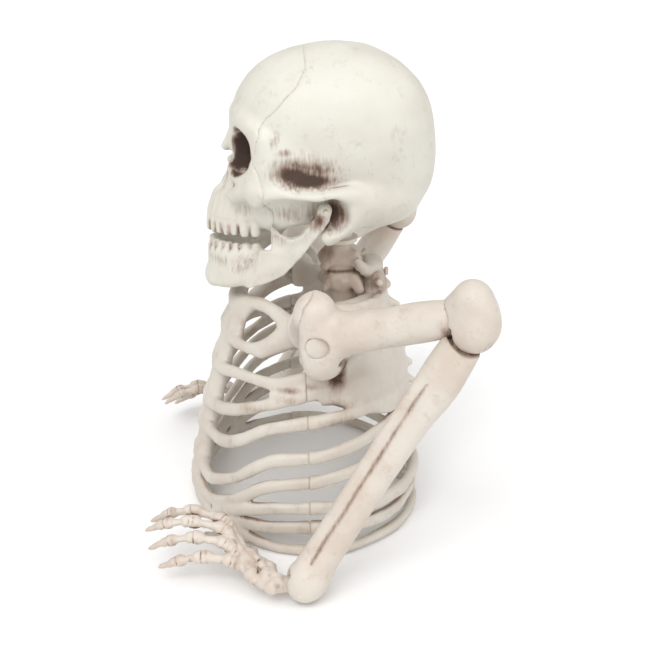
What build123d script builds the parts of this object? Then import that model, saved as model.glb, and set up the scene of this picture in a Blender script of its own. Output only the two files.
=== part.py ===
"""Posable half-figure skeleton decoration: skull, rib cage and two jointed arms, standing on its lowest rib.

Millimetres, +Z up. The figure faces -Y and its left side is +X. The origin is at the centre of the
footprint, on the surface it stands on.
"""
from build123d import *
from math import radians, tan
import os

os.makedirs("parts", exist_ok=True)

# ---------------------------------------------------------------- driving dimensions
figure_height = 360.0        # top of the skull above the table
wall = 3.0                   # moulded shell thickness
rib_radius = 4.5
cage_seam_y = -1.0           # the front and back cage shells meet here
hinge_gap = 0.4              # side clearance between faces that move past each other
pin_clearance = 0.05         # radial clearance of a pin in its bore

# Braincase: an ellipsoid of revolution about a fore-and-aft axis
braincase_radius = 61.0
braincase_half_length = 75.0
braincase_centre = Vector(0, 29, figure_height - braincase_radius)

# Joint places on the left side; the right side is their mirror image
shoulder_axis = Vector(94, 5, 171)
elbow_axis = Vector(139, 103, 197)
wrist_axis = Vector(155, -12, 14)
jaw_axis = Vector(48, 16, 250)
neck_axis_y = 32.0

# Pins and screws
shoulder_pin_radius = 4.0
elbow_pin_radius = 3.0
wrist_pin_radius = 2.0
jaw_pin_radius = 2.0
neck_post_radius = 6.0
screw_radius = 1.6
screw_head_radius = 3.2
screw_head_height = 2.2

X_DIR = Vector(1, 0, 0)
Y_DIR = Vector(0, 1, 0)
Z_DIR = Vector(0, 0, 1)


# ---------------------------------------------------------------- shared shapes
def eased_path(points):
    """Straight runs joined by the largest tangent arcs that their corners allow."""
    corners = [Vector(*point) for point in points]
    runs = [end - start for start, end in zip(corners, corners[1:])]
    radii = []
    for before, after in zip(runs, runs[1:]):
        half_turn = radians(before.get_angle(after)) / 2
        radii.append(0.45 * min(before.length, after.length) / tan(half_turn))
    with BuildLine() as path:
        FilletPolyline(*corners, radius=radii)
    return path.line


def eased_tube(points, radius):
    """Round bar along an eased path."""
    path = eased_path(points)
    with BuildPart() as tube:
        with BuildSketch(Plane(path @ 0, z_dir=path % 0)):
            Circle(radius)
        sweep(path=path)
    return tube.part


def tapered_shaft(start, end, start_radius, end_radius):
    """Cone frustum between two points."""
    start = Vector(*start)
    run = Vector(*end) - start
    with BuildPart(Plane(start, z_dir=run)) as shaft:
        Cone(start_radius, end_radius, run.length, align=(Align.CENTER, Align.CENTER, Align.MIN))
    return shaft.part


def ball(centre, radius):
    """Sphere at a point."""
    with BuildPart(Plane(centre)) as sphere:
        Sphere(radius)
    return sphere.part


def disc(start, direction, radius, thickness):
    """Cylinder that starts at a point and runs along a direction."""
    with BuildPart(Plane(start, z_dir=direction)) as cylinder:
        Cylinder(radius, thickness, align=(Align.CENTER, Align.CENTER, Align.MIN))
    return cylinder.part


def crosswise(axis_point, half_length, radius):
    """Cylinder along X, centred on a joint."""
    return disc(axis_point - X_DIR * half_length, X_DIR, radius, 2 * half_length)


def block(low, high):
    """Box between two corners."""
    low = Vector(*low)
    size = Vector(*high) - low
    with BuildPart(Plane(low)) as cuboid:
        Box(size.X, size.Y, size.Z, align=(Align.MIN, Align.MIN, Align.MIN))
    return cuboid.part


def ovoid(centre, radius, half_length):
    """Ellipsoid of revolution about a line along Y."""
    with BuildPart() as solid:
        with BuildSketch(Plane(centre)):
            Ellipse(radius, half_length)
            Rectangle(2 * radius, 4 * half_length, align=(Align.MAX, Align.CENTER), mode=Mode.SUBTRACT)
        revolve(axis=Axis(centre, Y_DIR))
    return solid.part


def screw(seat, drive, length):
    """Pan-head screw: the head stands outside the seat and the shank runs along the drive direction."""
    with BuildPart() as fastener:
        add(disc(seat, drive, screw_radius, length))
        add(disc(seat, drive * -1, screw_head_radius, screw_head_height))
        add(disc(seat - drive * screw_head_height, drive, screw_radius * 0.8, 1.2), mode=Mode.SUBTRACT)
    return fastener.part


def mirrored(solid):
    """The same solid on the figure's right side."""
    with BuildPart() as twin:
        add(mirror(solid, about=Plane.YZ))
    return twin.part


def save(solid, name):
    """Label a finished piece and write its STEP file."""
    solid.label = name
    export_step(solid, f"parts/{name}.step")


def save_group(solids, name):
    """Write identical fasteners as one node of separate solids."""
    with BuildPart() as group:
        add(solids)
    save(group.part, name)


def save_pair(solid, name):
    """Write a left-hand piece and its right-hand twin."""
    save(solid, f"{name}_left")
    save(mirrored(solid), f"{name}_right")


# ---------------------------------------------------------------- rib cage outline
# Left-hand rib centrelines from the breastbone round the side to the spine, top rib first
ring_height = 4.0            # centreline of the lowest rib, whose underside is cut flat to stand on
ribs = {
    "first": [(6, -55, 148), (30, -51, 145), (52, -37, 147), (62, -18, 154), (60, 12, 164), (38, 40, 166),
              (5, 62, 162)],
    "second": [(6, -63, 116), (28, -60, 121), (54, -45, 127), (73, -24, 128), (78, 0, 134), (68, 32, 140),
               (40, 60, 142), (5, 71, 138)],
    "third": [(6, -72, 84), (40, -62, 93), (66, -44, 105), (80, -20, 117), (83, 5, 124), (74, 34, 126),
              (44, 64, 126), (5, 75, 120)],
    "fourth": [(6, -77, 64), (42, -67, 69), (66, -53, 78), (84, -29, 97), (93, 0, 105), (88, 34, 110),
               (60, 66, 110), (5, 80, 102)],
    "fifth": [(6, -82, 36), (40, -75, 33), (74, -53, 52), (91, -29, 74), (101, 2, 81), (94, 36, 88),
              (62, 68, 93), (5, 83, 86)],
    "sixth": [(6, -84, 18), (42, -76, 16), (74, -56, 32), (92, -32, 53), (103, 2, 62), (98, 34, 68),
              (66, 70, 72), (5, 86, 68)],
    "seventh": [(56, -70, 13), (80, -52, 28), (98, -24, 38), (106, 8, 42), (98, 44, 37), (70, 76, 36),
                (36, 90, 38), (5, 88, 46)],
    "eighth": [(74, -57, 14), (94, -33, 20), (105, -4, 25), (104, 28, 24), (84, 62, 21), (46, 86, 22),
               (5, 90, 28)],
    "ninth": [(82, -50, 7), (97, -28, ring_height), (105, 0, ring_height), (102, 32, ring_height),
              (76, 70, ring_height), (42, 88, ring_height), (5, 91, 8)],
}
costal_margin = [(0, -86, 7), (26, -82, 6), (54, -71, 6), (72, -59, 9), (84, -48, 8)]
clavicle = [(6, -47, 169), (26, -39, 175), (42, -26, 176), (58, -15, 168)]
clavicle_radius = 5.0
shoulder_strap = [(56, -30, 147), (59, -22, 158), (57, -16, 168)]
breastbone_front = [(-50, 177), (-60, 148), (-71, 100), (-80, 60), (-89, 4)]
breastbone_half_width = 13.0
breastbone_depth = 6.0
below_table = block((-200, -200, -20), (200, 200, 0))

# Each rib is cut at the seam plane, whose normal points forward
seam_plane = Plane.XZ.offset(-cage_seam_y)


def rib_part(points, side):
    """The stretch of a rib on one side of the cage seam."""
    with BuildPart() as stretch:
        add(eased_tube(points, rib_radius))
        split(bisect_by=seam_plane, keep=side)
    return stretch.part


# ---------------------------------------------------------------- front of the rib cage
with BuildPart() as breastbone:
    with BuildSketch(Plane.YZ):
        with BuildLine():
            rear = [(y + breastbone_depth, z) for y, z in reversed(breastbone_front)]
            Polyline(*breastbone_front, *rear, close=True)
        make_face()
    extrude(amount=breastbone_half_width, both=True)
    fillet(breastbone.edges().filter_by(Axis.X).sort_by(Axis.Z)[-2:], radius=2)

# Shoulder lug on the back shell, which carries the arm's pin
cup_inner_x = 70.0
lug_radius = 14.0
lug_inner_x = 44.0
lug = disc(Vector(lug_inner_x, shoulder_axis.Y, shoulder_axis.Z), X_DIR, lug_radius, cup_inner_x - lug_inner_x)

front_ribs = [rib_part(points, Keep.TOP) for points in ribs.values()]
edge_bar = eased_tube(costal_margin, rib_radius)
clavicle_bar = eased_tube(clavicle, clavicle_radius)
strap_bar = eased_tube(shoulder_strap, rib_radius)
tab_low = Vector(51, -16, 160)
tab_high = Vector(64, -9.5, 175)
shoulder_tab = block(tab_low, tab_high)
tab_screw_seat = Vector(57.5, tab_low.Y, 165)
tab_screw_length = 22.0
tab_screw_seats = [Vector(side * tab_screw_seat.X, tab_screw_seat.Y, tab_screw_seat.Z) for side in (1, -1)]
tab_screw_holes = [disc(seat, Y_DIR, screw_radius + pin_clearance, tab_screw_length + 3)
                   for seat in tab_screw_seats]
tab_head_pockets = [disc(seat, Y_DIR * -1, screw_head_radius + 0.3, 12) for seat in tab_screw_seats]

with BuildPart() as ribcage_front:
    add(breastbone.part)
    for bar in (*front_ribs, edge_bar, clavicle_bar, strap_bar, shoulder_tab):
        add(bar)
        add(mirror(bar, about=Plane.YZ))
    for cut in (lug, mirror(lug, about=Plane.YZ), below_table, *tab_screw_holes, *tab_head_pockets):
        add(cut, mode=Mode.SUBTRACT)
save(ribcage_front.part, "ribcage_front")

# ---------------------------------------------------------------- back of the rib cage
spine = [(0, 60, 196), (0, 61, 166), (0, 70, 126), (0, 80, 76), (0, 86, 30), (0, 86, 3)]
spine_radius = 8.5
vertebra_radius = 10.5
vertebra_height = 8.0
vertebra_places = [0.2 + 0.09 * step for step in range(9)]
spine_path = eased_path(spine)
spine_bar = eased_tube(spine, spine_radius)
vertebrae = [disc(spine_path @ place, spine_path % place, vertebra_radius, vertebra_height)
             for place in vertebra_places]

# Collars that take the front shell's rib ends, as (X, Z) on the seam
collar_radius = 6.0
collar_length = 9.0
collar_places = [(93, 105), (100.5, 81), (102.5, 61.5), (104.5, 41), (105, 25)]
collars = [disc(Vector(x, cage_seam_y, z), Y_DIR, collar_radius, collar_length) for x, z in collar_places]

# Shoulder-blade plate: a band of the cage's outer barrel, as height: (half width, centre Y, half depth)
barrel_levels = {90: (99, 10, 79), 120: (88, 11, 74), 150: (72, 10, 65), 178: (50, 10, 55)}
blade_outline = [(84, 112), (84, 136), (62, 166), (24, 174), (-24, 174), (-62, 166), (-84, 136), (-84, 112),
                 (-58, 98), (-20, 94), (20, 94), (58, 98)]
blade_front_y = 10.0
blade_back_y = 120.0


def barrel(inset):
    """Smooth barrel through the cage's elliptical levels, inset from its outer surface."""
    with BuildPart() as solid:
        for height, (half_width, centre_y, half_depth) in barrel_levels.items():
            with BuildSketch(Plane((0, centre_y, height))):
                Ellipse(half_width - inset, half_depth - inset)
        loft()
    return solid.part


with BuildPart() as shoulder_blades:
    with BuildSketch(Plane.XZ.offset(-blade_back_y)):
        with BuildLine():
            Polyline(*blade_outline, close=True)
        make_face()
    extrude(amount=blade_back_y - blade_front_y)
    add(barrel(0), mode=Mode.INTERSECT)
    add(barrel(wall), mode=Mode.SUBTRACT)

# The arm that ties each shoulder lug to the spine
shoulder_bore = disc(Vector(lug_inner_x - 1, shoulder_axis.Y, shoulder_axis.Z), X_DIR, shoulder_pin_radius, 40)
lug_arm = tapered_shaft((50, 8, 169), (20, 52, 167), 8, 8.5)
back_ribs = [rib_part(points, Keep.BOTTOM) for points in ribs.values()]

# Screws that hold the neck to the spine
neck_screw_heights = (168, 186)
neck_screw_length = 32.0
neck_screw_seat_y = 68.0
neck_screw_seats = [Vector(0, neck_screw_seat_y, height) for height in neck_screw_heights]
neck_screw_holes = [disc(seat, Y_DIR * -1, screw_radius + pin_clearance, neck_screw_length + 1)
                    for seat in neck_screw_seats]
neck_head_pockets = [disc(seat, Y_DIR, screw_head_radius + 0.3, 8) for seat in neck_screw_seats]

with BuildPart() as ribcage_back:
    add(spine_bar)
    add(vertebrae)
    add(shoulder_blades.part)
    for piece in (*back_ribs, lug, lug_arm, *collars):
        add(piece)
        add(mirror(piece, about=Plane.YZ))
    for cut in (shoulder_bore, mirror(shoulder_bore, about=Plane.YZ), *tab_screw_holes, *neck_screw_holes,
                *neck_head_pockets, below_table):
        add(cut, mode=Mode.SUBTRACT)
save(ribcage_back.part, "ribcage_back")

save_group([screw(seat, Y_DIR, tab_screw_length) for seat in tab_screw_seats], "ribcage_screws")

# ---------------------------------------------------------------- neck
neck_top = 212.2
neck_half_width = 13.0
neck_half_depth = 16.0
neck_foot = 152.0
neck_waist_height = 180.0
bush_bottom = neck_top + hinge_gap
bush_top = 244.0
bush_radius = 10.0
bush_flange_radius = 14.0
bush_flange_height = 3.0
neck_washer_thickness = 1.5
neck_washer_radius = 9.0
post_top = bush_top + 0.2

with BuildPart() as neck_column:
    with BuildSketch(Plane((0, neck_axis_y + 6, neck_foot))):
        Ellipse(9, 9)
    with BuildSketch(Plane((0, neck_axis_y, neck_waist_height))):
        Ellipse(neck_half_width, neck_half_depth)
    loft()
    with BuildSketch(Plane((0, neck_axis_y, neck_waist_height))):
        Ellipse(neck_half_width, neck_half_depth)
    extrude(amount=neck_top - neck_waist_height)
    with BuildSketch(Plane((0, neck_axis_y, neck_top))):
        Circle(neck_post_radius)
    extrude(amount=post_top - neck_top)
    for height in (186, 199):
        with BuildSketch(Plane((0, neck_axis_y, height))):
            Ellipse(neck_half_width + 2, neck_half_depth + 2)
            Ellipse(neck_half_width - 1.5, neck_half_depth - 1.5, mode=Mode.SUBTRACT)
        extrude(amount=2.5, mode=Mode.SUBTRACT)
    add(block((-5, neck_axis_y + 6, 160), (5, 51.4, 194)))
    add(neck_screw_holes, mode=Mode.SUBTRACT)
    add(disc(Vector(0, neck_axis_y, post_top + 1), Z_DIR * -1, screw_radius, 22), mode=Mode.SUBTRACT)
save(neck_column.part, "neck_column")

save_group([screw(seat, Y_DIR * -1, neck_screw_length) for seat in neck_screw_seats], "neck_screws")

with BuildPart(Plane((0, neck_axis_y, bush_bottom))) as neck_bush:
    upward = (Align.CENTER, Align.CENTER, Align.MIN)
    Cylinder(bush_radius, bush_top - bush_bottom, align=upward)
    Cylinder(bush_flange_radius, bush_flange_height, align=upward)
    Cylinder(neck_post_radius + pin_clearance, bush_top - bush_bottom, align=upward, mode=Mode.SUBTRACT)
save(neck_bush.part, "neck_bush")

with BuildPart(Plane((0, neck_axis_y, post_top))) as neck_washer:
    Cylinder(neck_washer_radius, neck_washer_thickness, align=upward)
    Cylinder(screw_radius + pin_clearance, neck_washer_thickness, align=upward, mode=Mode.SUBTRACT)
save(neck_washer.part, "neck_washer")
save(screw(Vector(0, neck_axis_y, post_top + neck_washer_thickness), Z_DIR * -1, 20), "neck_post_screw")

# ---------------------------------------------------------------- skull
# Face block sections, front to back, as Y: (half width, lower Z, upper Z)
face_levels = {-4: (45, 262, 334), -28: (47, 252, 320), -51: (35, 246, 308)}
muzzle_front_y = -68.0
muzzle_centre_y = -28.0
muzzle_half_width = 26.0
teeth_edge_z = 225.0
muzzle_top_z = 258.0
socket_centre = Vector(23, -45, 288)
socket_radius = 17.0
nose_half_width = 9.5
nose_low_z = 253.0
nose_high_z = 279.0
# Profile of the seam between the face and the braincase, as (Y, Z) from the palate up over the crown
skull_seam = [(-20, 205), (-20, 246), (-27, 256), (-28, 266), (-33, 284), (-30, 306), (-12, 324), (4, 344),
              (8, 375)]


def face_block(inset):
    """Lofted block of the face, inset from its outer surface."""
    with BuildPart() as solid:
        for y, (half_width, low, high) in face_levels.items():
            with BuildSketch(Plane((0, y + (inset if y < -40 else 0), (low + high) / 2), x_dir=(1, 0, 0),
                                   z_dir=(0, -1, 0))):
                RectangleRounded(2 * (half_width - inset), high - low - 2 * inset, 16 - inset)
        loft()
    return solid.part


def muzzle(inset):
    """U-shaped upper jaw seen from above."""
    with BuildPart() as solid:
        with BuildSketch(Plane((0, muzzle_centre_y, teeth_edge_z))):
            Ellipse(muzzle_half_width - inset, muzzle_centre_y - muzzle_front_y - inset)
            Rectangle(200, 200, align=(Align.CENTER, Align.MIN), mode=Mode.SUBTRACT)
        extrude(amount=muzzle_top_z - teeth_edge_z)
    return solid.part


socket_cups = [ball(Vector(side * socket_centre.X, socket_centre.Y, socket_centre.Z), socket_radius + wall)
               for side in (1, -1)]
socket_backs = [ball(Vector(side * socket_centre.X, socket_centre.Y, socket_centre.Z),
                     socket_radius + wall + 0.8) for side in (1, -1)]
sockets = [ball(Vector(side * socket_centre.X, socket_centre.Y, socket_centre.Z), socket_radius)
           for side in (1, -1)]
base_collar_radius = 16.0
base_collar_bottom = bush_bottom + bush_flange_height
with BuildPart() as skull_cavity:
    add(ovoid(braincase_centre, braincase_radius - wall, braincase_half_length - wall))
    add(face_block(wall))
    add(socket_cups, mode=Mode.SUBTRACT)
    add(block((-14, -60, 240), (14, -36, 283)), mode=Mode.SUBTRACT)
    add(disc(Vector(0, neck_axis_y, 200), Z_DIR, base_collar_radius, 43.5), mode=Mode.SUBTRACT)

with BuildPart() as nose_opening:
    with BuildSketch(Plane((0, -75, 0), x_dir=(1, 0, 0), z_dir=(0, -1, 0))):
        with BuildLine():
            Polyline((-nose_half_width, nose_low_z + 3), (0, nose_low_z), (nose_half_width, nose_low_z + 3),
                     (3, nose_high_z), (-3, nose_high_z), close=True)
        make_face()
    extrude(amount=-34)

# Cheek arch, ear boss and mastoid on the left side of the braincase
cheek_arch = eased_tube([(42, -40, 262), (54, -22, 264), (59, -2, 264), (56, 16, 262)], 4.2)
ear_block = block((jaw_axis.X + 3.9, 8, 252), (60, 26, 276))
ear_boss = disc(Vector(jaw_axis.X + 3.9, jaw_axis.Y, jaw_axis.Z), X_DIR, 8, 8)
mastoid = tapered_shaft((52, 36, 270), (50, 29, 224), 11, 6)
jaw_pin_bore = crosswise(jaw_axis, 14, jaw_pin_radius)
# Screw blocks under the floor of the skull, one each side of the palate
screw_block = block((12, -40, 245), (24, -9, 259))
skull_screw_seats = [Vector(side * 18, -9, 251) for side in (1, -1)]
skull_screw_length = 24.0
skull_screw_holes = [disc(seat, Y_DIR * -1, screw_radius + pin_clearance, skull_screw_length + 1)
                     for seat in skull_screw_seats]
skull_head_pockets = [disc(seat, Y_DIR, screw_head_radius + 0.3, 14) for seat in skull_screw_seats]
hollow_muzzle = muzzle(5)

with BuildPart() as skull:
    add(ovoid(braincase_centre, braincase_radius, braincase_half_length))
    add(face_block(0))
    add(muzzle(0))
    add(skull_cavity.part, mode=Mode.SUBTRACT)
    for piece in (cheek_arch, ear_block, ear_boss, mastoid, screw_block):
        add(piece)
        add(mirror(piece, about=Plane.YZ))
    add(disc(Vector(0, neck_axis_y, base_collar_bottom), Z_DIR, base_collar_radius, 28))
    add(hollow_muzzle, mode=Mode.SUBTRACT)
    add(sockets, mode=Mode.SUBTRACT)
    add(nose_opening.part, mode=Mode.SUBTRACT)
    add(disc(Vector(0, neck_axis_y, 210), Z_DIR, bush_radius, 40), mode=Mode.SUBTRACT)
    for cut in (jaw_pin_bore, mirror(jaw_pin_bore, about=Plane.YZ), *skull_screw_holes, *skull_head_pockets):
        add(cut, mode=Mode.SUBTRACT)

with BuildPart() as face_side:
    with BuildSketch(Plane.YZ.offset(-90)):
        with BuildLine():
            Polyline((-120, 205), *skull_seam, (-120, 375), close=True)
        make_face()
    extrude(amount=180)
    add(socket_backs)

with BuildPart() as skull_face:
    add(skull.part)
    add(face_side.part, mode=Mode.INTERSECT)
save(skull_face.part, "skull_face")

with BuildPart() as skull_cranium:
    add(skull.part)
    add(face_side.part, mode=Mode.SUBTRACT)
save(skull_cranium.part, "skull_cranium")

save_group([screw(seat, Y_DIR * -1, skull_screw_length) for seat in skull_screw_seats], "skull_screws")
save_pair(disc(jaw_axis - X_DIR * 3.2, X_DIR, jaw_pin_radius, 14), "jaw_pin")

# ---------------------------------------------------------------- jaw
# Side profile as (Y, Z): chin, tooth line, coronoid, notch, condyle and back of the ramus
jaw_profile = [(-62, 180), (-69, 190), (-68, 219), (-31, 219), (-30, 232), (-25, 239), (-17, 236), (-4, 233),
               (10, 248), (17, 245), (2, 226), (-12, 205), (-44, 189)]
jaw_half_width = 51.0
jaw_thickness = 6.6
jaw_rear_y = 22.0
chin_thickness = 9.0
condyle_radius = 5.2

with BuildPart() as jaw:
    with BuildSketch(Plane.YZ):
        with BuildLine():
            Polyline(*jaw_profile, close=True)
        make_face()
    extrude(amount=2 * jaw_half_width, both=True)
    add(disc(Vector(-jaw_half_width, jaw_axis.Y, jaw_axis.Z), X_DIR, condyle_radius, 2 * jaw_half_width))
    with BuildSketch(Plane((0, jaw_rear_y, 150))):
        Ellipse(jaw_half_width, jaw_rear_y - muzzle_front_y + 1)
        Ellipse(jaw_half_width - jaw_thickness, jaw_rear_y - muzzle_front_y + 1 - chin_thickness,
                mode=Mode.SUBTRACT)
    extrude(amount=150, mode=Mode.INTERSECT)
    add(disc(Vector(-80, jaw_axis.Y, jaw_axis.Z), X_DIR, jaw_pin_radius + pin_clearance, 160),
        mode=Mode.SUBTRACT)
save(jaw.part, "jaw")

# ---------------------------------------------------------------- shoulder fittings
cup_radius = 19.0
head_radius = 16.0
head_high_z = 190.0
head_low_z = 152.0
head_seat_x = 104.0          # floor of the counterbore for the pin's head
pin_root_x = 50.0
pin_head_radius = 8.0
pin_head_thickness = 5.2
shoulder_line = Vector(0, shoulder_axis.Y, shoulder_axis.Z)
cup_thickness = shoulder_axis.X - head_radius - 1.6 - cup_inner_x

with BuildPart() as shoulder_cup:
    add(disc(shoulder_line + X_DIR * cup_inner_x, X_DIR, cup_radius, cup_thickness))
    fillet(shoulder_cup.edges().sort_by(Axis.X)[-1], radius=2)
    add(disc(shoulder_line + X_DIR * cup_inner_x, X_DIR, shoulder_pin_radius, cup_thickness),
        mode=Mode.SUBTRACT)
save_pair(shoulder_cup.part, "shoulder_cup")

pin_head_x = head_seat_x + 0.2
with BuildPart() as shoulder_pin:
    add(disc(shoulder_line + X_DIR * pin_root_x, X_DIR, shoulder_pin_radius, pin_head_x - pin_root_x))
    add(disc(shoulder_line + X_DIR * pin_head_x, X_DIR, pin_head_radius, pin_head_thickness))
    fillet(shoulder_pin.edges().sort_by(Axis.X)[-1], radius=2.5)
save_pair(shoulder_pin.part, "shoulder_pin")

# ---------------------------------------------------------------- upper arm
humerus_start = Vector(97, 14, 174)
humerus_end = Vector(129.5, 85, 198)
humerus_start_radius = 13.5
humerus_end_radius = 12.5
humerus_run = (humerus_end - humerus_start).normalized()
socket_depth = 26.0
spigot_radius = 8.0
spigot_root = humerus_end - humerus_run * (socket_depth - 2)

with BuildPart() as humerus:
    add(ball(Vector(shoulder_axis.X, shoulder_axis.Y, head_high_z), head_radius))
    add(ball(Vector(shoulder_axis.X, shoulder_axis.Y, head_low_z), head_radius))
    add(disc(Vector(shoulder_axis.X, shoulder_axis.Y, head_low_z), Z_DIR, head_radius,
             head_high_z - head_low_z))
    add(tapered_shaft(humerus_start, humerus_end, humerus_start_radius, humerus_end_radius))
    add(disc(humerus_end - humerus_run * socket_depth, humerus_run, spigot_radius, socket_depth + 1),
        mode=Mode.SUBTRACT)
    add(crosswise(shoulder_axis, 30, shoulder_pin_radius + pin_clearance), mode=Mode.SUBTRACT)
    add(disc(shoulder_line + X_DIR * head_seat_x, X_DIR, pin_head_radius + hinge_gap, 12),
        mode=Mode.SUBTRACT)
save_pair(humerus.part, "humerus")

knuckle_radius = 18.0
knuckle_high_z = 210.0
slot_half_width = 6.8
tongue_end_radius = 10.0
slot_radius = tongue_end_radius + 1.5
with BuildPart() as elbow_knuckle:
    add(ball(Vector(elbow_axis.X, elbow_axis.Y + 1, elbow_axis.Z), knuckle_radius))
    add(ball(Vector(elbow_axis.X, elbow_axis.Y + 1, knuckle_high_z), knuckle_radius))
    add(disc(Vector(elbow_axis.X, elbow_axis.Y + 1, elbow_axis.Z), Z_DIR, knuckle_radius,
             knuckle_high_z - elbow_axis.Z))
    add(tapered_shaft(humerus_start, humerus_end, 30, 12.52), mode=Mode.SUBTRACT)
    add(tapered_shaft(spigot_root, humerus_end + humerus_run * 6, spigot_radius, spigot_radius + 0.01))
    add(crosswise(elbow_axis, slot_half_width, slot_radius), mode=Mode.SUBTRACT)
    add(block((elbow_axis.X - slot_half_width, elbow_axis.Y - 30, elbow_axis.Z - 30),
              (elbow_axis.X + slot_half_width, elbow_axis.Y + 30, elbow_axis.Z)), mode=Mode.SUBTRACT)
    add(crosswise(elbow_axis, 30, elbow_pin_radius), mode=Mode.SUBTRACT)
save_pair(elbow_knuckle.part, "elbow_knuckle")
save_pair(crosswise(elbow_axis, knuckle_radius - 1.5, elbow_pin_radius), "elbow_pin")

# ---------------------------------------------------------------- forearm
forearm_end = Vector(155, -8, 15)
forearm_run = (forearm_end - elbow_axis).normalized()
forearm_top = elbow_axis + forearm_run * 24
forearm_full = elbow_axis + forearm_run * 50
tongue_run = Vector(0, forearm_run.Y, forearm_run.Z).normalized()
tongue_depth = 12.0
tongue_half_width = slot_half_width - hinge_gap
fork_half_gap = 4.6
wrist_end_radius = 15.0
groove_radius = 3.0
groove_side = X_DIR * 13.5

with BuildPart() as forearm:
    add(crosswise(elbow_axis, tongue_half_width, tongue_end_radius))
    with BuildSketch(Plane(elbow_axis, x_dir=X_DIR, z_dir=tongue_run)):
        Rectangle(2 * tongue_half_width, tongue_depth)
    extrude(amount=28)
    add(tapered_shaft(forearm_top, forearm_full, 9, 13))
    add(tapered_shaft(forearm_full, forearm_end, 13, 13.5))
    add(ball(forearm_end, wrist_end_radius))
    add(tapered_shaft(forearm_full + groove_side, forearm_end - forearm_run * 30 + groove_side,
                      groove_radius, groove_radius + 0.2), mode=Mode.SUBTRACT)
    add(crosswise(elbow_axis, 20, elbow_pin_radius + pin_clearance), mode=Mode.SUBTRACT)
    add(block((wrist_axis.X - fork_half_gap, -40, -5), (wrist_axis.X + fork_half_gap, -2, 25)),
        mode=Mode.SUBTRACT)
    add(crosswise(wrist_axis, 20, wrist_pin_radius), mode=Mode.SUBTRACT)
save_pair(forearm.part, "forearm")
save_pair(crosswise(wrist_axis, 13.5, wrist_pin_radius), "wrist_pin")

# ---------------------------------------------------------------- hand
# Knuckle places of each ray from the wrist to its tip
finger_rays = {
    "thumb": [(136, -36, 14), (116, -46, 14), (103, -60, 18), (94, -79, 18)],
    "index": [(136, -42, 19), (106, -64, 37), (99, -87, 42), (96, -103, 38), (93.5, -118, 29.5)],
    "middle": [(139, -44, 19), (115, -63, 35), (110, -88, 40), (107, -106, 37), (103.5, -120.1, 29)],
    "ring": [(143, -44, 18), (125, -62, 30), (120, -85, 33), (117, -103, 29), (113.5, -119, 20.5)],
    "little": [(147, -42, 16), (135, -58, 22), (131, -80, 24), (129, -97, 20), (125.5, -112, 12.5)],
}
finger_radius = 3.7
wrist_block_start = Vector(152, -32, 14.5)
wrist_block_end = Vector(132, -50, 20)
palm_tongue_radius = 8.0

with BuildPart() as hand:
    add(crosswise(wrist_axis, fork_half_gap - hinge_gap, palm_tongue_radius))
    add(block((wrist_axis.X - fork_half_gap + hinge_gap, -33, wrist_axis.Z - 6),
              (wrist_axis.X + fork_half_gap - hinge_gap, wrist_axis.Y, wrist_axis.Z + 6)))
    add(tapered_shaft(wrist_block_start, wrist_block_end, 10, 8.5))
    for places in finger_rays.values():
        add(eased_tube(places, finger_radius))
    add(crosswise(wrist_axis, 20, wrist_pin_radius + pin_clearance), mode=Mode.SUBTRACT)
save_pair(hand.part, "hand")
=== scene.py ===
"""Looks of the half-figure skeleton: every bone is sculpted as a signed-distance field around the CAD."""
import math
from itertools import product

import bpy
import numpy as np
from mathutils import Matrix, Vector


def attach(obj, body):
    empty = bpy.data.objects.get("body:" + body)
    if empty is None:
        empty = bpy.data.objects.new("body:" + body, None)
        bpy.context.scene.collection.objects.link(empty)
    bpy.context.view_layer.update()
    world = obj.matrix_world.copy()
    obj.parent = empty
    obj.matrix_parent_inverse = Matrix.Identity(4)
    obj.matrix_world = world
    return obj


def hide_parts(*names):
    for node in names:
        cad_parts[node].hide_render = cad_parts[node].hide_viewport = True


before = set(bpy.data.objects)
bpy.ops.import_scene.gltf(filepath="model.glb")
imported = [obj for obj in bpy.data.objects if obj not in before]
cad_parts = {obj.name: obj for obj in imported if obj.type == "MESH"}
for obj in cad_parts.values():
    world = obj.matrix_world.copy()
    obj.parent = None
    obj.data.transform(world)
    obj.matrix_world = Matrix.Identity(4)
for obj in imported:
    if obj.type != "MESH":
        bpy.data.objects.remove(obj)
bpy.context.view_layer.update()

MM = 0.001
SEAM_Y = -1.0                 # where the front and back cage shells meet
NECK_Y = 32.0
ELBOW = np.array((139.0, 103.0, 197.0))
WRIST = np.array((155.0, -12.0, 14.0))
FOREARM_END = np.array((155.0, -8.0, 15.0))
HUMERUS_START = np.array((97.0, 14.0, 174.0))
HUMERUS_END = np.array((131.0, 87.5, 199.0))
SHOULDER = np.array((94.0, 5.0, 171.0))
CUP_X, CUP_RADIUS = 73.2, 18.6
PIN_SEAT_X = 104.0            # floor of the seat for the shoulder pin's head
HUMERUS_RUN = HUMERUS_END - HUMERUS_START
FOREARM_RUN = FOREARM_END - ELBOW
# Across the forearm, towards the figure's front
AHEAD = np.array((0.0, FOREARM_RUN[2], -FOREARM_RUN[1])) / math.hypot(FOREARM_RUN[1], FOREARM_RUN[2])
FLOOR_Z = -0.0004             # metres, just under the lowest rib


# ---- sculpting tools, in millimetres
def smooth_min(a, b, k):
    """Union of two distances with a fillet of about k."""
    if k <= 0:
        return np.minimum(a, b)
    h = np.maximum(k - np.abs(a - b), 0) / k
    return np.minimum(a, b) - h * h * k * 0.25


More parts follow.
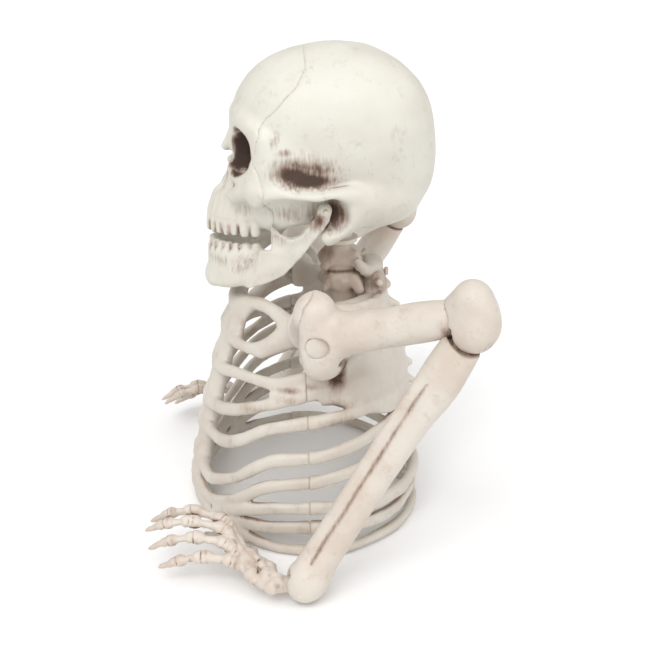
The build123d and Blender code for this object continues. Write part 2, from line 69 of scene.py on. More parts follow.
def curve(points, step):
    """Catmull-Rom curve through rows of numbers, sampled about every step of its first three columns."""
    p = np.array(points, float)
    p = np.vstack([2 * p[0] - p[1], p, 2 * p[-1] - p[-2]])
    out = []
    for i in range(1, len(p) - 2):
        length = np.linalg.norm(p[i + 1, :3] - p[i, :3])
        count = max(2, int(length / step))
        t = np.linspace(0, 1, count, endpoint=False)[:, None]
        out.append(0.5 * (2 * p[i] + (p[i + 1] - p[i - 1]) * t
                          + (2 * p[i - 1] - 5 * p[i] + 4 * p[i + 1] - p[i + 2]) * t ** 2
                          + (3 * p[i] - p[i - 1] - 3 * p[i + 1] + p[i + 2]) * t ** 3))
    out.append(p[-2:-1])
    return np.vstack(out)


def ellipsoid(x, y, z, centre, radii):
    """Approximate distance to an ellipsoid."""
    px, py, pz = (x - centre[0]), (y - centre[1]), (z - centre[2])
    near = np.sqrt((px / radii[0]) ** 2 + (py / radii[1]) ** 2 + (pz / radii[2]) ** 2)
    far = np.sqrt((px / radii[0] ** 2) ** 2 + (py / radii[1] ** 2) ** 2 + (pz / radii[2] ** 2) ** 2)
    return near * (near - 1) / np.maximum(far, 1e-6)


def capsule(x, y, z, start, end, start_radius, end_radius):
    """Distance to a tapered bar with round ends."""
    run = end - start
    px, py, pz = x - start[0], y - start[1], z - start[2]
    h = np.clip((px * run[0] + py * run[1] + pz * run[2]) / max(run @ run, 1e-9), 0, 1)
    off = (px - h * run[0]) ** 2 + (py - h * run[1]) ** 2 + (pz - h * run[2]) ** 2
    return np.sqrt(off) - (start_radius + h * (end_radius - start_radius))


class Clay:
    """A block of clay: distances on a regular grid. With both=True, x means |x|, for both sides at once."""

    def __init__(self, low, high, pitch, both=False):
        self.low = np.array(low, float)
        self.pitch = pitch
        self.size = np.ceil((np.array(high, float) - self.low) / pitch).astype(int) + 1
        self.d = np.full(self.size, 30.0, np.float32)
        axes = [self.low[i] + pitch * np.arange(self.size[i]) for i in range(3)]
        self.x = axes[0][:, None, None].astype(np.float32)
        self.y = axes[1][None, :, None].astype(np.float32)
        self.z = axes[2][None, None, :].astype(np.float32)
        self.both = both
        if both:
            self.x = np.abs(self.x)

    def window(self, low, high):
        """Slices of the grid around a box, or None where it misses the grid."""
        low, high = np.array(low, float), np.array(high, float)
        if self.both:
            reach = max(abs(low[0]), abs(high[0]))
            low[0], high[0] = -reach, reach
        a = np.maximum(np.floor((low - self.low) / self.pitch).astype(int), 0)
        b = np.minimum(np.ceil((high - self.low) / self.pitch).astype(int) + 1, self.size)
        if (b <= a).any():
            return None
        return tuple(slice(i, j) for i, j in zip(a, b))

    def coordinates(self, w):
        return self.x[w[0]], self.y[:, w[1]], self.z[:, :, w[2]]

    def blob(self, centre, radii, blend=3.0, cut=False):
        """Adds or removes an ellipsoid."""
        radii = np.array(radii, float)
        w = self.window(np.array(centre) - radii - blend - 3, np.array(centre) + radii + blend + 3)
        if w is not None:
            self.join(w, ellipsoid(*self.coordinates(w), centre, radii), blend, cut)

    def join(self, w, shape, blend, cut):
        if cut:
            self.d[w] = -smooth_min(-self.d[w], shape, blend)
        else:
            self.d[w] = smooth_min(self.d[w], shape, blend)

    def bar(self, rows, blend=2.0, cut=False, step=5.0):
        """Adds or removes a bar through rows of (x, y, z, radius)."""
        rows = curve(rows, step) if len(rows) > 2 else np.array(rows, float)
        reach = rows[:, 3].max() + blend + 3
        w = self.window(rows[:, :3].min(0) - reach, rows[:, :3].max(0) + reach)
        if w is None:
            return
        shape = np.full(self.d[w].shape, 30.0, np.float32)
        corner = np.array([s.start for s in w])
        for a, b in zip(rows, rows[1:]):
            part = self.window(np.minimum(a, b)[:3] - reach, np.maximum(a, b)[:3] + reach)
            if part is None:
                continue
            inner = tuple(slice(s.start - c, s.stop - c) for s, c in zip(part, corner))
            piece = capsule(*self.coordinates(part), a[:3], b[:3], a[3], b[3])
            shape[inner] = np.minimum(shape[inner], piece)
        self.join(w, shape, blend, cut)

    def keep(self, shape):
        """Keeps only what is inside another distance."""
        self.d = np.maximum(self.d, shape.astype(np.float32))

    def lumps(self, size, height, seed):
        """Soft random relief."""
        self.d += height * noise(self.x, self.y, self.z, size, seed)


def noise(x, y, z, size, seed):
    """Smooth random field from -1 to 1 with features about as large as size."""
    table = np.random.RandomState(seed).uniform(-1, 1, (64, 64, 64)).astype(np.float32)
    gx, gy, gz = (np.asarray(c) / size + 100.0 for c in (x, y, z))
    ix, iy, iz = (np.floor(g).astype(int) for g in (gx, gy, gz))
    fx, fy, fz = gx - ix, gy - iy, gz - iz
    fx, fy, fz = (f * f * (3 - 2 * f) for f in (fx, fy, fz))
    total = 0
    for dx, dy, dz in product((0, 1), repeat=3):
        weight = (fx if dx else 1 - fx) * (fy if dy else 1 - fy) * (fz if dz else 1 - fz)
        total = total + weight * table[(ix + dx) % 64, (iy + dy) % 64, (iz + dz) % 64]
    return total.astype(np.float32)


def sample(clay, points):
    """Distance at any points, between grid places."""
    g = (points - clay.low) / clay.pitch
    i = np.clip(np.floor(g).astype(int), 0, clay.size - 2)
    f = np.clip(g - i, 0, 1)
    total = 0
    for corner in product((0, 1), repeat=3):
        weight = np.where(corner, f, 1 - f).prod(1)
        total = total + weight * clay.d[tuple((i + corner).T)]
    return total


def surface(clay):
    """Closed quad mesh of the zero surface (surface nets)."""
    d = np.pad(clay.d, 1, constant_values=30.0)
    inside = d < 0
    low = clay.low - clay.pitch
    cells = tuple(n - 1 for n in d.shape)
    count = np.zeros(cells, np.int8)
    for dx, dy, dz in product((0, 1), repeat=3):
        count += inside[dx:cells[0] + dx, dy:cells[1] + dy, dz:cells[2] + dz]
    active = np.argwhere((count > 0) & (count < 8))
    number = np.full(cells, -1, np.int32)
    number[tuple(active.T)] = np.arange(len(active))
    total = np.zeros((len(active), 3))
    hits = np.zeros(len(active))
    for axis in range(3):
        others = [i for i in range(3) if i != axis]
        for u, v in product((0, 1), repeat=2):
            start = np.zeros(3, int)
            start[others[0]], start[others[1]] = u, v
            end = start.copy()
            end[axis] = 1
            a = d[tuple((active + start).T)]
            b = d[tuple((active + end).T)]
            cross = (a < 0) != (b < 0)
            t = a[cross] / (a[cross] - b[cross])
            total[cross] += start + t[:, None] * (end - start)
            hits[cross] += 1
    vertices = (active + total / hits[:, None]) * clay.pitch + low
    faces = []
    for axis in range(3):
        u, v = [(1, 2), (2, 0), (0, 1)][axis]
        a = np.moveaxis(inside, axis, 0)
        edges = np.argwhere(a[:-1] != a[1:])
        place = np.zeros_like(edges)
        order = [axis] + [i for i in range(3) if i != axis]
        for column, i in enumerate(order):
            place[:, i] = edges[:, column]
        step_u, step_v = np.eye(3, dtype=int)[u], np.eye(3, dtype=int)[v]
        ring = [place - step_u - step_v, place - step_v, place, place - step_u]
        quad = np.stack([number[tuple(r.T)] for r in ring], 1)
        flip = ~inside[tuple(place.T)]
        quad[flip] = quad[flip][:, ::-1]
        faces.append(quad)
    return vertices, np.vstack(faces)


def relax(vertices, faces, rounds=2, amount=0.5):
    """Evens the net a little without shrinking thin parts."""
    for _ in range(rounds):
        total = np.zeros_like(vertices)
        hits = np.zeros(len(vertices))
        for a, b in ((0, 1), (1, 2), (2, 3), (3, 0)):
            for m, n in ((faces[:, a], faces[:, b]), (faces[:, b], faces[:, a])):
                for axis in range(3):
                    total[:, axis] += np.bincount(m, vertices[n, axis], len(vertices))
                hits += np.bincount(m, minlength=len(vertices))
        vertices = vertices + amount * (total / hits[:, None] - vertices)
    return vertices


def vertex_normals(vertices, faces):
    """Area-weighted normals."""
    across = vertices[faces[:, 2]] - vertices[faces[:, 0]]
    along = vertices[faces[:, 3]] - vertices[faces[:, 1]]
    cross = np.cross(across, along)
    normals = np.zeros_like(vertices)
    for corner in range(4):
        for axis in range(3):
            normals[:, axis] += np.bincount(faces[:, corner], cross[:, axis], len(vertices))
    return normals / np.maximum(np.linalg.norm(normals, axis=1), 1e-9)[:, None]


def finish_piece(name, vertices, faces, hollow, wash, material, body, nodes):
    """Mesh object with its masks of brown wash and painted shade, riding on its body and standing for its CAD
    nodes.
    """
    mesh = bpy.data.meshes.new(name)
    mesh.vertices.add(len(vertices))
    mesh.vertices.foreach_set("co", (vertices * MM).astype(np.float32).ravel())
    mesh.loops.add(faces.size)
    mesh.loops.foreach_set("vertex_index", faces.astype(np.int32).ravel())
    mesh.polygons.add(len(faces))
    mesh.polygons.foreach_set("loop_start", np.arange(0, faces.size, 4, dtype=np.int32))
    mesh.update()
    mesh.validate()
    mesh.polygons.foreach_set("use_smooth", np.ones(len(mesh.polygons), bool))
    for label, values in (("hollow", hollow), ("wash", wash)):
        layer = mesh.attributes.new(label, "FLOAT", "POINT")
        layer.data.foreach_set("value", np.clip(values, 0, 1.2).astype(np.float32))
    mesh.materials.append(material)
    piece = bpy.data.objects.new(name, mesh)
    bpy.context.scene.collection.objects.link(piece)
    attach(piece, body)
    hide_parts(*nodes)


def model(name, clay, material, body, nodes, wash=(), twin=None, reach=5.0):
    """Turns clay into a piece, and with twin=(body, nodes) also into its mirror image.

    The mask argument is rows for washed(), or a function that gives at each point the brown wash, and on the
    skull also painted shade under the cheek arch.
    """
    vertices, faces = surface(clay)
    vertices = relax(vertices, faces)
    normals = vertex_normals(vertices, faces)
    # How enclosed each point is, a cheap ambient occlusion; the bone materials darken by it as brown wash and
    # painted shade
    near = sample(clay, vertices + normals * reach) / reach
    wide = sample(clay, vertices + normals * reach * 2.4) / (reach * 2.4)
    hollow = np.clip(1 - 0.6 * near - 0.4 * wide, 0, 1)
    painted = wash(vertices) if callable(wash) else washed(vertices, wash)
    side = "_left" if twin else ""
    finish_piece(name + side, vertices, faces, hollow, painted, material, body, nodes)
    if twin:
        flipped = vertices * (-1, 1, 1)
        finish_piece(name + "_right", flipped, faces[:, ::-1], hollow, painted, material, *twin)


def spot(vertices, centre, radii):
    """Soft mask on both sides, 1 at a centre and 0 outside the radii."""
    p = vertices.copy()
    p[:, 0] = np.abs(p[:, 0])
    r = np.sqrt((((p - centre) / radii) ** 2).sum(1))
    return np.clip(1.35 - 1.35 * r, 0, 1)


def washed(vertices, rows):
    """Largest of several soft masks, each a row of strength, centre and radii."""
    mask = np.zeros(len(vertices))
    for strength, centre, radii in rows:
        mask = np.maximum(mask, strength * spot(vertices, centre, radii))
    return mask


# The record's material slot names for the CAD nodes, listed only: these dictionaries are not kept or used
dict.fromkeys(("ribcage_front", "ribcage_back", "shoulder_cup"), "torso_plastic")
dict.fromkeys(("shoulder_pin", "humerus", "elbow_knuckle", "forearm"), "limb_plastic")


# ---- materials
# Brown of the wash, also the colour of the painted shade in hollows and under the cheek arch
STAIN_AND_SHADE = (0.25, 0.14, 0.095)
DEEP_STAIN_AND_SHADE = (0.055, 0.030, 0.022)


def new_material(name):
    """A node material with its nodes, links and shader."""
    material = bpy.data.materials.new(name)
    material.use_nodes = True
    tree = material.node_tree
    return material, tree.nodes, tree.links, tree.nodes["Principled BSDF"]


def bone_material(name, light, dark, roughness, stain_and_shade_gain, grain=1.0, brush=0.5):
    """Moulded bone-coloured plastic; its hollows are darkened brown, partly as brown wash and partly as
    painted shade.
    """
    material, nodes, links, shader = new_material(name)

    def noise_node(scale, detail, rough=0.55, distortion=0.0, source=None):
        node = nodes.new("ShaderNodeTexNoise")
        node.inputs["Scale"].default_value = scale
        node.inputs["Detail"].default_value = detail
        node.inputs["Roughness"].default_value = rough
        node.inputs["Distortion"].default_value = distortion
        links.new(coordinates.outputs["Object"] if source is None else source, node.inputs["Vector"])
        return node.outputs["Fac"]

    def ramp(source, low, high):
        node = nodes.new("ShaderNodeMapRange")
        node.interpolation_type = "SMOOTHSTEP"
        node.inputs["From Min"].default_value = low
        node.inputs["From Max"].default_value = high
        links.new(source, node.inputs["Value"])
        return node.outputs["Result"]

    def maths(kind, a, b):
        node = nodes.new("ShaderNodeMath")
        node.operation = kind
        for socket, value in zip(node.inputs, (a, b)):
            if isinstance(value, float):
                socket.default_value = value
            else:
                links.new(value, socket)
        return node.outputs["Value"]

    def times(a, b):
        return maths("MULTIPLY", a, b)

    def mix(factor, a, b):
        node = nodes.new("ShaderNodeMix")
        node.data_type = "RGBA"
        links.new(factor, node.inputs["Factor"])
        for socket, value in ((node.inputs[6], a), (node.inputs[7], b)):
            if isinstance(value, tuple):
                socket.default_value = (*value, 1)
            else:
                links.new(value, socket)
        return node.outputs[2]

    coordinates = nodes.new("ShaderNodeTexCoord")
    hollow = nodes.new("ShaderNodeAttribute")
    hollow.attribute_name = "hollow"
    wash = nodes.new("ShaderNodeAttribute")
    wash.attribute_name = "wash"
    mottle = noise_node(28.0, 4.0)
    patches = noise_node(75.0, 5.0, 0.62, 0.4)
    fine = noise_node(420.0, 4.0, 0.6)
    grit = noise_node(900.0, 2.0, 0.5)
    stretch = nodes.new("ShaderNodeMapping")
    stretch.inputs["Scale"].default_value = (1.0, 1.0, 0.10)
    links.new(coordinates.outputs["Object"], stretch.inputs["Vector"])
    bristles = noise_node(520.0, 3.0, 0.5, source=stretch.outputs["Vector"])
    base = mix(ramp(mottle, 0.35, 0.7), light, dark)
    # Painted shade and brown wash in hollows: darker where the hollow attribute, a cheap ambient occlusion,
    # is high
    crease = ramp(maths("ADD", hollow.outputs["Fac"], times(patches, 0.35)), 0.62, 1.25)
    crease = times(crease, stain_and_shade_gain)
    smear = times(ramp(maths("ADD", patches, times(fine, 0.4)), 0.74, 1.0), 0.22)
    strokes = times(maths("SUBTRACT", bristles, 0.5), brush)
    strokes = maths("ADD", strokes, times(maths("SUBTRACT", patches, 0.5), 0.7))
    strokes = times(strokes, ramp(wash.outputs["Fac"], 0.0, 0.3))
    # Brown wash from the pieces' masks; on the skull it also holds painted shade under the cheek arch
    rubbed_and_shaded = ramp(maths("ADD", wash.outputs["Fac"], strokes), 0.12, 1.05)
    amount = maths("MAXIMUM", maths("ADD", crease, smear), rubbed_and_shaded)
    amount = maths("MINIMUM", amount, 0.97)
    depth = maths("ADD", times(patches, 0.5), wash.outputs["Fac"])
    tone = mix(ramp(depth, 0.7, 1.4), STAIN_AND_SHADE, DEEP_STAIN_AND_SHADE)
    links.new(mix(amount, base, tone), shader.inputs["Base Color"])
    gloss = maths("ADD", times(amount, 0.22), roughness - 0.04)
    links.new(maths("ADD", gloss, times(fine, 0.08)), shader.inputs["Roughness"])
    shine = maths("SUBTRACT", 0.42, times(amount, 0.30))
    links.new(shine, shader.inputs["Specular IOR Level"])
    height = maths("ADD", times(patches, 0.5), times(fine, 0.34))
    height = maths("ADD", height, times(grit, 0.12))
    bump = nodes.new("ShaderNodeBump")
    bump.inputs["Strength"].default_value = 0.30 * grain
    bump.inputs["Distance"].default_value = 0.0012
    links.new(height, bump.inputs["Height"])
    links.new(bump.outputs["Normal"], shader.inputs["Normal"])
    return material


skull_bone = bone_material("skull_bone", (0.675, 0.655, 0.585), (0.64, 0.605, 0.53), 0.46, 0.85, 0.7, 1.0)
torso_bone = bone_material("torso_bone", (0.645, 0.60, 0.53), (0.585, 0.515, 0.445), 0.48, 0.70)
limb_bone = bone_material("limb_bone", (0.655, 0.60, 0.53), (0.585, 0.505, 0.43), 0.48, 0.80, 1.3)
hand_bone = bone_material("hand_bone", (0.65, 0.585, 0.515), (0.55, 0.46, 0.39), 0.5, 1.15, 1.3)
neck_bone = bone_material("neck_bone", (0.62, 0.55, 0.475), (0.50, 0.40, 0.33), 0.5, 0.8, 1.3)


# ---- skull
SKULL_SEAM = [(205, -20), (246, -20), (256, -27), (266, -28), (284, -33), (306, -30), (324, -12), (344, 4),
              (375, 8)]
# Teeth from the middle outwards: place on the arch in radians, and width
TEETH = [(0.15, 7.2), (0.42, 6.2), (0.65, 6.2), (0.86, 6.2), (1.05, 6.2), (1.27, 7.6), (1.50, 7.8)]
ARCH_Y, UPPER_BITE, LOWER_BITE = -30.0, 225.3, 219.2
# Eye sockets and nose: centre, radii and blend of each cut, and the y where its wash begins
SOCKETS = [((28.5, -54, 288), (18.5, 24.5, 17.2), 2, -53), ((23, -42, 287), (15, 21, 13.5), 4, -60),
           ((5.4, -62, 263.5), (5.6, 18, 8.0), 1.5, -54), ((2.6, -62, 272), (3.9, 16, 10), 1.5, -54)]


def arch(angle, half_width, depth):
    """Point on a dental arch, 0 at the front."""
    return half_width * math.sin(angle), ARCH_Y - depth * math.cos(angle)


def polygon_distance(px, pz, corners):
    """Signed distance to a closed outline, negative inside."""
    px, pz = np.broadcast_arrays(px, pz)
    best = np.full(px.shape, 1e9, np.float32)
    inside = np.zeros(px.shape, bool)
    corners = np.array(corners, float)
    for a, b in zip(corners, np.roll(corners, -1, 0)):
        ex, ez = b - a
        wx, wz = px - a[0], pz - a[1]
        h = np.clip((wx * ex + wz * ez) / (ex * ex + ez * ez), 0, 1)
        best = np.minimum(best, (wx - ex * h) ** 2 + (wz - ez * h) ** 2)
        if ez != 0:
            crosses = ((a[1] > pz) != (b[1] > pz)) & (px < ex * (pz - a[1]) / ez + a[0])
            inside ^= crosses
    return np.where(inside, -1, 1) * np.sqrt(best)


def skull_clay(low, high, pitch):
    """Whole skull without the jaw, on any window of space."""
    c = Clay(low, high, pitch, both=True)
    # braincase: main vault, forehead, side bosses, full lower back
    c.blob((0, 27, 300), (57, 72, 60), 0)
    c.blob((0, -4, 305), (49, 42, 45), 9)
    c.blob((22, 46, 303), (38, 49, 50), 8)
    c.blob((0, 56, 280), (50, 46, 42), 9)
    c.blob((14, 56, 270), (36, 42, 38), 8)
    # upper face, cheek walls and skull base
    c.blob((0, -14, 289), (52, 32, 30), 9)
    c.blob((38, -4, 274), (19.5, 32, 20), 8)
    c.blob((0, -18, 260), (40, 26, 26), 8)
    c.blob((26, -4, 246), (14.5, 32, 20), 6)
    c.blob((0, -34, 250), (24, 24, 22), 7)
    c.blob((0, 40, 248), (36, 46, 18), 9)
    c.blob((30, 50, 252), (22, 36, 20), 8)
    # brows, orbit rims, cheekbones
    c.bar([(0, -41, 308, 6), (12, -42, 309, 6), (26, -40, 310, 5.5), (38, -32, 305, 5), (43, -25, 297, 5)], 6)
    c.bar([(43, -26, 298, 5), (44, -25, 288, 4.8), (43, -28, 277, 5.2), (42, -33, 268, 6)], 6)
    c.bar([(43, -32, 266, 7), (35, -39, 261, 6.5), (25, -46, 256, 6)], 6)
    c.bar([(41, -33, 271, 5), (28, -43, 269.5, 4.5), (14, -47, 275, 4)], 5)
    # nose bones and the columns beside the nose
    c.bar([(0, -40, 304, 5.5), (0, -46.5, 294, 4.8), (0, -51.5, 287, 3.8)], 5)
    c.bar([(5, -42, 297, 5), (10, -42.5, 283, 4.4), (13.5, -43.5, 269, 5.2), (13, -50, 256, 6)], 5)
    c.bar([(0, -56, 256, 4), (0, -60.5, 253.5, 2.0)], 3)
    # cheek arch, its root over the ear, and the mastoid
    c.bar([(44, -33, 262, 6.5), (51, -22, 262.5, 5.2), (57, -8, 263, 4.8), (58, 8, 263, 4.6),
           (56, 22, 262, 5.5), (52, 36, 262, 7)], 5)
    c.bar([(44, -32, 256, 4.5), (51, -20, 259, 3.6), (56, -8, 261, 3.2)], 4)
    c.bar([(46, 44, 255, 12), (48, 30, 241, 9.5), (47.5, 19, 229.5, 6.3)], 8)
    # upper jaw
    for height, depth in ((235, 31.2), (242, 30), (249, 27.5)):
        rows = [(*arch(a, 20.5, depth), height, 6.0) for a in np.linspace(0, 1.62, 9)]
        c.bar(rows, 3, step=8)
    c.bar([(0, NECK_Y, 240, 15.5), (0, NECK_Y, 231, 15.5)], 4)
    # hollows: temple, under the cheek arch, ear, palate
    temple = np.minimum(ellipsoid(c.x, c.y, c.z, (64.5, 6, 276), (11.5, 27, 12.5)),
                        ellipsoid(c.x, c.y, c.z, (60, -12, 279), (9, 17, 11)))
    c.d = -smooth_min(-c.d, temple, 3)
    c.blob((59, -12, 247), (16.5, 25, 13.5), 4, cut=True)
    c.blob((60, 20, 246), (15, 13.5, 14.5), 3, cut=True)
    c.blob((50, 22, 247), (5, 5, 6), 2, cut=True)
    c.blob((0, -24, 230), (15, 29, 13), 3, cut=True)
    c.blob((32, 2, 226), (13, 18, 9), 6, cut=True)
    # eye sockets and nose
    for centre, radii, blend, _ in SOCKETS:
        c.blob(centre, radii, blend, cut=True)
    c.bar([(0, -48, 277, 1.0), (0, -54, 258, 1.3)], 1)
    # brain cavity behind the face, and the swivel bore
    cavity = ellipsoid(c.x, c.y, c.z, (0, 29, 300), (50, 65, 53))
    cavity = np.maximum(np.maximum(cavity, -10 - c.y), 4 - temple)
    c.keep(-cavity)
    bore = np.sqrt(c.x ** 2 + (c.y - NECK_Y) ** 2)
    c.keep(-np.maximum(bore - 14.2, c.z - 219))
    c.keep(-np.maximum(bore - 10.1, c.z - 250))
    # root swellings and crowns, cut level at the biting edge
    for angle, width in TEETH:
        x, y = arch(angle, 25.4, 36.0)
        c.bar([(x * 0.98, y + 3.0, 250, 1.6), (x, y + 0.6, 239, width * 0.42)], 2.2)
        x, y = arch(angle, 24.8, 35.6)
        c.blob((x, y, 230.5), (width * 0.5, width * 0.48, 9.5), 0.5)
    c.bar([(*arch(a, 21.5, 32.3), 230, 3.0) for a in np.linspace(0, 1.55, 8)], 0.6, step=6)
    below_teeth = np.maximum(c.z - UPPER_BITE - 0.35 * np.sin(c.x * 0.9), np.maximum(c.y + 18, c.x - 34))
    c.keep(-below_teeth)
    # cracks in front of the temple
    for crack in ([(51, -27, 312, 0.5), (53, -21, 307, 0.9), (53, -19, 300, 1.0), (56, -12, 296, 0.7)],
                  [(52, -24, 296, 0.9), (55, -14, 291, 0.8), (57, -8, 289, 0.5)],
                  [(57, 0, 300, 0.4), (57.5, 1, 293, 0.9), (58, -1, 288, 0.8)]):
        c.bar(crack, 0.8, cut=True)
    side = seam_side(c)
    near_seam = np.exp(-(side / 0.7) ** 2)
    lip = np.exp(-((side + 2.2) / 1.3) ** 2)
    c.d += (0.22 * near_seam - 0.35 * lip) * (c.z > 252) * np.clip((352 - c.z) / 12, 0, 1)
    c.lumps(17, 0.5, 3)
    c.lumps(5, 0.12, 4)
    return c


def seam_side(c):
    """Distance-like value, positive behind the skull's seam."""
    heights, places = zip(*SKULL_SEAM)
    line = np.interp(c.z.ravel(), heights, places)[None, None, :].astype(np.float32)
    wave = 0.9 * np.sin(c.z / 5.2) + 0.4 * np.sin(c.z / 2.3 + 1.0)
    return (c.y - line - wave * (c.z > 250)) * 0.8


def tooth_lines(p, low, high):
    """Wash between neighbouring crowns, fading out at both ends."""
    mask = np.zeros(len(p))
    fade = np.clip(np.minimum(p[:, 2] - low, high - p[:, 2]) / 4, 0, 1)
    for angle in [0.0] + [(a + b) / 2 for (a, _), (b, _) in zip(TEETH, TEETH[1:])]:
        x, y = arch(angle, 25.8, 37.0)
        off = np.hypot(np.abs(p[:, 0]) - x, p[:, 1] - y)
        mask = np.maximum(mask, 0.68 * np.clip(1.1 - off / 3.0, 0, 1) * fade)
    return mask


SKULL_SPOTS = [
    # temple
    (1.2, (53, 4, 272.5), (13, 30, 9.5)), (0.84, (53, 3, 278), (14, 37, 17)),
    (1.1, (52, -5, 276), (12, 25, 11.5)),
    # ear, and the cracks in front of the temple
    (1.35, (50, 17, 247), (16, 20, 18)), (0.95, (56, 8, 256), (8, 13, 6)),
    (0.75, (53, -19, 303), (7, 7, 13)), (0.7, (55, -12, 292), (7, 12, 5)), (0.7, (57, 0, 292), (7, 4, 8)),
    # upper jaw, beside the nose, under the cheekbone; the wide spot under the cheek arch is painted shade
    (0.3, (27, -42, 246), (12, 24, 9)), (0.45, (14, -56, 262), (9, 12, 9)),
    (0.42, (38, -6, 246), (13, 28, 14)), (0.5, (42, -34, 256), (8, 10, 6))]


def skull_wash(p):
    """Brown wash of the skull: temples, sockets, nose, ears and tooth roots, and painted shade under the
    cheek arch.
    """
    mask = np.maximum(washed(p, SKULL_SPOTS), tooth_lines(p, 220, 237))
    q = np.abs(p * (1, 0, 0)) + p * (0, 1, 1)
    for centre, radii, _, front in SOCKETS:
        r = np.sqrt((((q - centre) / radii) ** 2).sum(1))
        inside = np.clip((1.16 - r) / 0.16, 0, 1)
        mask = np.maximum(mask, 1.15 * inside * np.clip((p[:, 1] - front) / 7, 0, 1))
    return mask


face = skull_clay((-62, -74, 214), (62, 14, 364), 0.95)
face.keep(seam_side(face) - 0.3)
model("skull_face_bone", face, skull_bone, "skull", ["skull_face"], skull_wash)
cranium = skull_clay((-66, -42, 211), (66, 108, 364), 1.2)
cranium.keep(-0.3 - seam_side(cranium))
model("skull_cranium_bone", cranium, skull_bone, "skull", ["skull_cranium"], skull_wash)


# ---- jaw
RAMUS = [(-40, 190), (-33, 202), (-31, 219), (-31.5, 231), (-28, 239.5), (-23, 238), (-15, 230.5), (-8, 228),
         (-1, 231), (5, 239), (11, 250), (19, 250), (19, 243), (11, 232), (3, 221), (-6, 210), (-13, 202),
         (-24, 196)]


def jaw_clay():
    """U-shaped jaw: body, ramus, coronoid, condyle and lower teeth."""
    c = Clay((-58, -76, 172), (58, 26, 260), 0.95, both=True)
    for level in np.linspace(0, 1, 6):
        rows = []
        for s in np.linspace(0, 1, 9):
            a = 1.08 * s
            low = np.array((46.0 * math.sin(a), 22 - 86.0 * math.cos(a), 186.5 + 4 * s + 17 * s ** 3))
            high = np.array((*arch(1.5 * s, 24.0, 34.0), 210 + 3.0 * s))
            rows.append((*(low + (high - low) * level), 4.9 - 0.6 * level))
        c.bar(rows, 2.5, step=9)
    c.blob((0, -65, 189), (14, 6.5, 7.5), 5)
    # ramus: a slab with the coronoid, the notch and the condyle's neck, leaning outwards to the back
    middle = np.interp(c.y.ravel(), (-33, -12, 17), (38.5, 43, 48))[None, :, None].astype(np.float32)
    outline = polygon_distance(c.y[0], c.z[0], RAMUS)[None, :, :]
    swell = 1.1 * np.exp(-(outline / 3.5) ** 2) + 0.5
    slab = np.maximum(np.abs(c.x - middle) - 2.2 - swell, outline).astype(np.float32)
    c.d = smooth_min(c.d, slab, 6)
    c.blob((48, 16, 250), (5.2, 4.8, 4.8), 3)
    c.blob((46.5, -19, 226), (5.5, 7.5, 8), 3, cut=True)
    for angle, width in TEETH:
        x, y = arch(angle, 24.4, 35.2)
        c.bar([(x, y + 1, 200, 1.5), (x, y, 211, width * 0.4)], 2.2)
        x, y = arch(angle, 23.6, 34.2)
        c.blob((x, y, 214.5), (width * 0.49, width * 0.47, 8.8), 0.5)
    c.bar([(*arch(a, 20.8, 31.4), 214.5, 3.0) for a in np.linspace(0, 1.55, 8)], 0.6, step=6)
    c.keep(np.where((c.y < -22) & (c.z > 200), c.z - LOWER_BITE - 0.3 * np.sin(c.x * 1.3), -5.0))
    c.lumps(12, 0.45, 7)
    c.lumps(3.5, 0.16, 8)
    return c


JAW_SPOTS = [(0.5, (14, -58, 206), (24, 18, 7)), (0.5, (32, -42, 206), (13, 26, 12)),
             (0.9, (46, -19, 227), (7, 9, 10)), (1.0, (48, 11, 243), (7, 12, 12)),
             (0.35, (40, -20, 203), (12, 14, 6))]


def jaw_wash(p):
    """Brown wash at the tooth roots, in the notch and round the condyle."""
    return np.maximum(washed(p, JAW_SPOTS), tooth_lines(p, 207, 224))


model("jaw_bone", jaw_clay(), skull_bone, "jaw", ["jaw"], jaw_wash)

# ---- rib cage
LOWEST_RIB = 4.5              # height of its centre line
RIB_RADIUS = 3.5
RIBS = {
    "first": [(6, -55, 148), (30, -51, 145), (52, -37, 147), (62, -18, 154), (60, 12, 164), (38, 40, 166),
              (5, 62, 162)],
    "second": [(6, -63, 116), (28, -60, 121), (54, -45, 127), (73, -24, 128), (78, 0, 134), (68, 32, 140),
               (40, 60, 142), (5, 71, 138)],
    "third": [(6, -72, 84), (40, -62, 93), (66, -44, 105), (80, -20, 117), (83, 5, 124), (74, 34, 126),
              (44, 64, 126), (5, 75, 120)],
    "fourth": [(6, -77, 64), (42, -67, 69), (66, -53, 78), (84, -29, 97), (93, 0, 105), (88, 34, 110),
               (60, 66, 110), (5, 80, 102)],
    "fifth": [(6, -82, 36), (40, -75, 33), (74, -53, 52), (91, -29, 74), (101, 2, 81), (94, 36, 88),
              (62, 68, 93), (5, 83, 86)],
    "sixth": [(6, -84, 18), (42, -76, 16), (74, -56, 32), (92, -32, 53), (103, 2, 62), (98, 34, 68),
              (66, 70, 72), (5, 86, 68)],
    "seventh": [(56, -70, 13), (80, -52, 28), (98, -24, 38), (106, 8, 42), (98, 44, 37), (70, 76, 36),
                (36, 90, 38), (5, 88, 46)],
    "eighth": [(74, -57, 14), (94, -33, 20), (105, -4, 25), (104, 28, 24), (84, 62, 21), (46, 86, 22),
               (5, 90, 28)],
    "ninth": [(82, -50, 7), (97, -28, LOWEST_RIB), (105, 0, LOWEST_RIB), (102, 32, LOWEST_RIB),
              (76, 70, LOWEST_RIB), (42, 88, LOWEST_RIB), (5, 91, 8)],
}
RIM = [(0, -86, 7.5), (26, -82, 6.5), (54, -71, 6.5), (72, -59, 8.5), (84, -48, 7)]
CLAVICLE = [(6, -47, 169, 6.5), (26, -39, 175, 5.2), (42, -26, 176, 5.0), (55, -15, 171, 6.0),
            (62, -7, 166, 7.2)]
